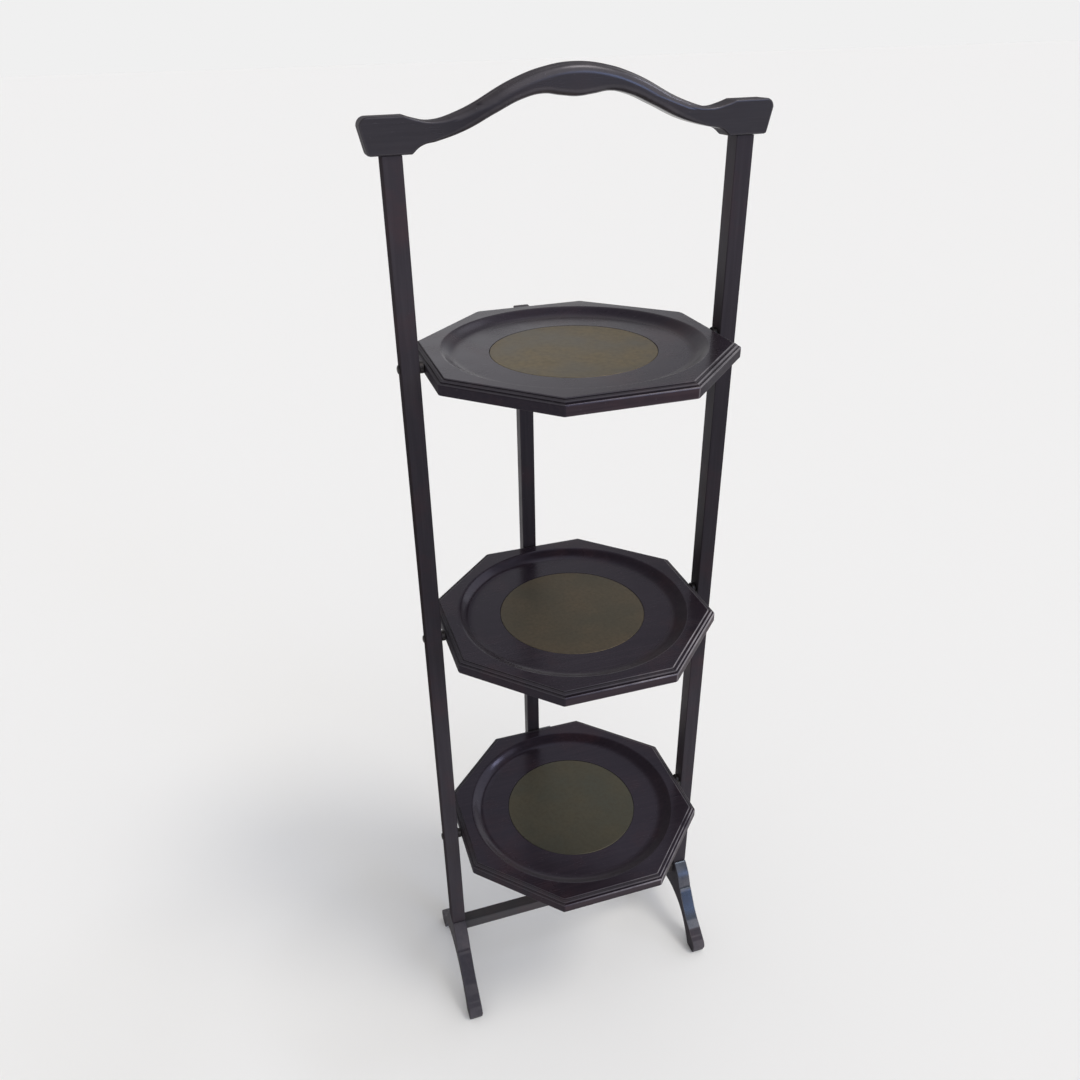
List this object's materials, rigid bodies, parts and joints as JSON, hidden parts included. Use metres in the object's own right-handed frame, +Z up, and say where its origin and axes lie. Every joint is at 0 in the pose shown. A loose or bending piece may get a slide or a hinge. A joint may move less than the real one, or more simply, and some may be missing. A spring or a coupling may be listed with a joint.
{
  "type": "folding three-tier cake stand",
  "caption": "Tall folding cake stand: octagonal dished plates pivot between two uprights under a serpentine handle, tied by a rear bar so that they fold flat together.",
  "frame": {"origin": "on the floor, midway between the open stand's left and right and its front and back", "axes": "+Z up; +X to the right of someone who faces the stand's front; the front is towards -Y and the rear bar towards +Y"},
  "size_m": [0.298, 0.2524, 0.8913],
  "materials": {
    "ebonised_wood": "ebonised hardwood with a worn, half-gloss polish",
    "tarnished_brass": "thin sheet brass gone dull and olive-brown",
    "blackened_steel": "small fittings, blackened"
  },
  "bodies": {
    "frame": {"left_upright": "ebonised_wood", "right_upright": "ebonised_wood", "handle": "ebonised_wood", "left_foot": "ebonised_wood", "right_foot": "ebonised_wood", "stretcher": "ebonised_wood", "lower_left_pin": "blackened_steel", "lower_left_collar": "blackened_steel", "lower_right_pin": "blackened_steel", "lower_right_collar": "blackened_steel", "middle_left_pin": "blackened_steel", "middle_left_collar": "blackened_steel", "middle_right_pin": "blackened_steel", "middle_right_collar": "blackened_steel", "top_left_pin": "blackened_steel", "top_left_collar": "blackened_steel", "top_right_pin": "blackened_steel", "top_right_collar": "blackened_steel"},
    "lower_tier": {"lower_plate": "ebonised_wood", "lower_inlay": "tarnished_brass", "lower_hinge_block": "ebonised_wood", "lower_block_screw": "blackened_steel", "lower_hinge_screw": "blackened_steel", "lower_washer": "blackened_steel"},
    "middle_tier": {"middle_plate": "ebonised_wood", "middle_inlay": "tarnished_brass", "middle_hinge_block": "ebonised_wood", "middle_block_screw": "blackened_steel", "middle_hinge_screw": "blackened_steel", "middle_washer": "blackened_steel"},
    "top_tier": {"top_plate": "ebonised_wood", "top_inlay": "tarnished_brass", "top_hinge_block": "ebonised_wood", "top_block_screw": "blackened_steel", "top_hinge_screw": "blackened_steel", "top_washer": "blackened_steel"},
    "rear_bar": {"rear_bar": "ebonised_wood"}
  },
  "joints": [
    {"name": "middle_tier_fold", "type": "hinge", "parent": "frame", "child": "middle_tier", "pos_m": [0, -0.00825, 0.45], "axis": [1, 0, 0], "range_deg": [0, 90]},
    {"name": "top_tier_fold", "type": "hinge", "parent": "frame", "child": "top_tier", "pos_m": [0, -0.00825, 0.694], "axis": [1, 0, 0], "range_deg": [0, 90]},
    {"name": "lower_tier_fold", "type": "hinge", "parent": "frame", "child": "lower_tier", "pos_m": [0, -0.00825, 0.206], "axis": [1, 0, 0], "range_deg": [0, 90]},
    {"name": "rear_bar_hinge", "type": "hinge", "parent": "middle_tier", "child": "rear_bar", "pos_m": [0, 0.11605, 0.4357], "axis": [1, 0, 0], "range_deg": [-90, 0]}
  ],
  "couplings": [
    {"joint": "top_tier_fold", "follows": "middle_tier_fold", "ratio": 1},
    {"joint": "lower_tier_fold", "follows": "middle_tier_fold", "ratio": 1},
    {"joint": "rear_bar_hinge", "follows": "middle_tier_fold", "ratio": -1}
  ]
}
